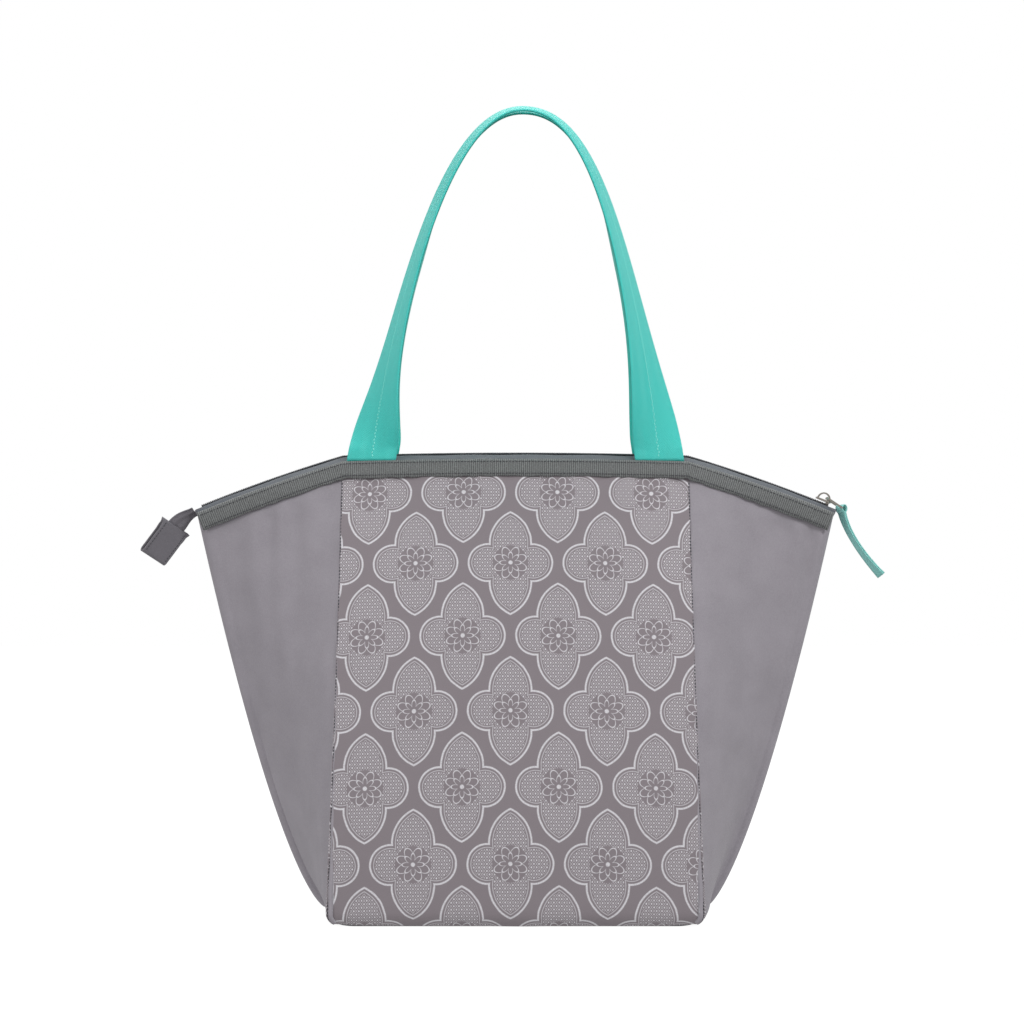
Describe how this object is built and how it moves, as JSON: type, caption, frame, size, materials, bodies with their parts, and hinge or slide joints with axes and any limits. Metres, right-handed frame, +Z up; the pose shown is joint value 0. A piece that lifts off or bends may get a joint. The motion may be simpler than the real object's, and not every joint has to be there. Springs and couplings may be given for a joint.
{
  "type": "insulated cooler bag",
  "caption": "Soft insulated tote with padded panels that lean in to an arched zip, flared folded gussets, a flat base and webbing carry handles.",
  "frame": {"origin": "middle of the base's underside, on the floor", "axes": "+X to the right seen from the front, towards the end where the closed slider rests; +Y to the back; +Z up"},
  "size_m": [0.5389, 0.16, 0.5872],
  "materials": {
    "outer_fabric": "matte plain weave",
    "printed_fabric": "matte, printed with a pale medallion lattice",
    "foam": "closed-cell foam",
    "liner": "smooth, slightly shiny",
    "band": "ribbed grosgrain",
    "webbing": "twill webbing with a sheen",
    "base_fabric": "matte weave",
    "board": "smooth",
    "zip_tape": "fine weave",
    "zip_coil": "satin",
    "metal": "satin nickel"
  },
  "bodies": {
    "base": {"base_panel": "base_fabric", "base_board": "board", "base_foam": "foam", "base_liner": "liner", "left_gusset_fold": "outer_fabric", "right_gusset_fold": "outer_fabric", "left_zip_stop": "zip_tape", "right_zip_stop": "zip_tape"},
    "front_shell": {"front_panel": "printed_fabric", "front_panel_foam": "foam", "front_panel_liner": "liner", "front_centre_band": "band", "front_zip_tape": "zip_tape", "front_zip_coil": "zip_coil", "front_left_wing": "outer_fabric", "front_left_wing_foam": "foam", "front_left_wing_liner": "liner", "front_left_band": "band", "front_left_strap_end": "webbing", "front_right_wing": "outer_fabric", "front_right_wing_foam": "foam", "front_right_wing_liner": "liner", "front_right_band": "band", "front_right_strap_end": "webbing"},
    "back_shell": {"back_panel": "printed_fabric", "back_panel_foam": "foam", "back_panel_liner": "liner", "back_centre_band": "band", "back_zip_tape": "zip_tape", "back_zip_coil": "zip_coil", "back_left_wing": "outer_fabric", "back_left_wing_foam": "foam", "back_left_wing_liner": "liner", "back_left_band": "band", "back_left_strap_end": "webbing", "back_right_wing": "outer_fabric", "back_right_wing_foam": "foam", "back_right_wing_liner": "liner", "back_right_band": "band", "back_right_strap_end": "webbing"},
    "slider": {"zip_slider": "metal"},
    "ring": {"pull_ring": "metal"},
    "ribbon": {"ribbon_pull": "webbing"},
    "tail": {"zip_tail": "zip_tape", "tail_tab": "base_fabric"},
    "front_carry_handle": {"front_handle": "webbing"},
    "back_carry_handle": {"back_handle": "webbing"}
  },
  "joints": [
    {"name": "mouth_front", "type": "hinge", "parent": "base", "child": "front_shell", "pos_m": [0, -0.08, 0], "axis": [1, 0, 0], "range_deg": [0, 8]},
    {"name": "mouth_back", "type": "hinge", "parent": "base", "child": "back_shell", "pos_m": [0, 0.08, 0], "axis": [-1, 0, 0], "range_deg": [0, 8]},
    {"name": "zip_slider_travel", "type": "hinge", "parent": "base", "child": "slider", "pos_m": [0, 0, -0.26848], "axis": [0, -1, 0], "range_deg": [0, 43.26], "deforming": ["ribbon_pull"]},
    {"name": "pull_ring_swing", "type": "hinge", "parent": "slider", "child": "ring", "pos_m": [0.22632, 0, 0.2969], "axis": [0, -1, 0], "range_deg": [0, 140]},
    {"name": "ribbon_swing", "type": "hinge", "parent": "ring", "child": "ribbon", "pos_m": [0.23681, 0, 0.28992], "axis": [0, -1, 0], "range_deg": [0, 70]},
    {"name": "front_handle_swing", "type": "hinge", "parent": "front_shell", "child": "front_carry_handle", "pos_m": [0, -0.0155, 0.3225], "axis": [1, 0, 0], "range_deg": [0, 138]},
    {"name": "back_handle_swing", "type": "hinge", "parent": "back_shell", "child": "back_carry_handle", "pos_m": [0, 0.0155, 0.3225], "axis": [-1, 0, 0], "range_deg": [0, 138]},
    {"name": "zip_tail_lift", "type": "hinge", "parent": "base", "child": "tail", "pos_m": [-0.23373, 0, 0.28701], "axis": [0, 1, 0], "range_deg": [0, 60]}
  ],
  "couplings": [
    {"joint": "mouth_back", "follows": "mouth_front", "ratio": 1},
    {"joint": "zip_slider_travel", "follows": "mouth_front", "ratio": 5.407}
  ]
}
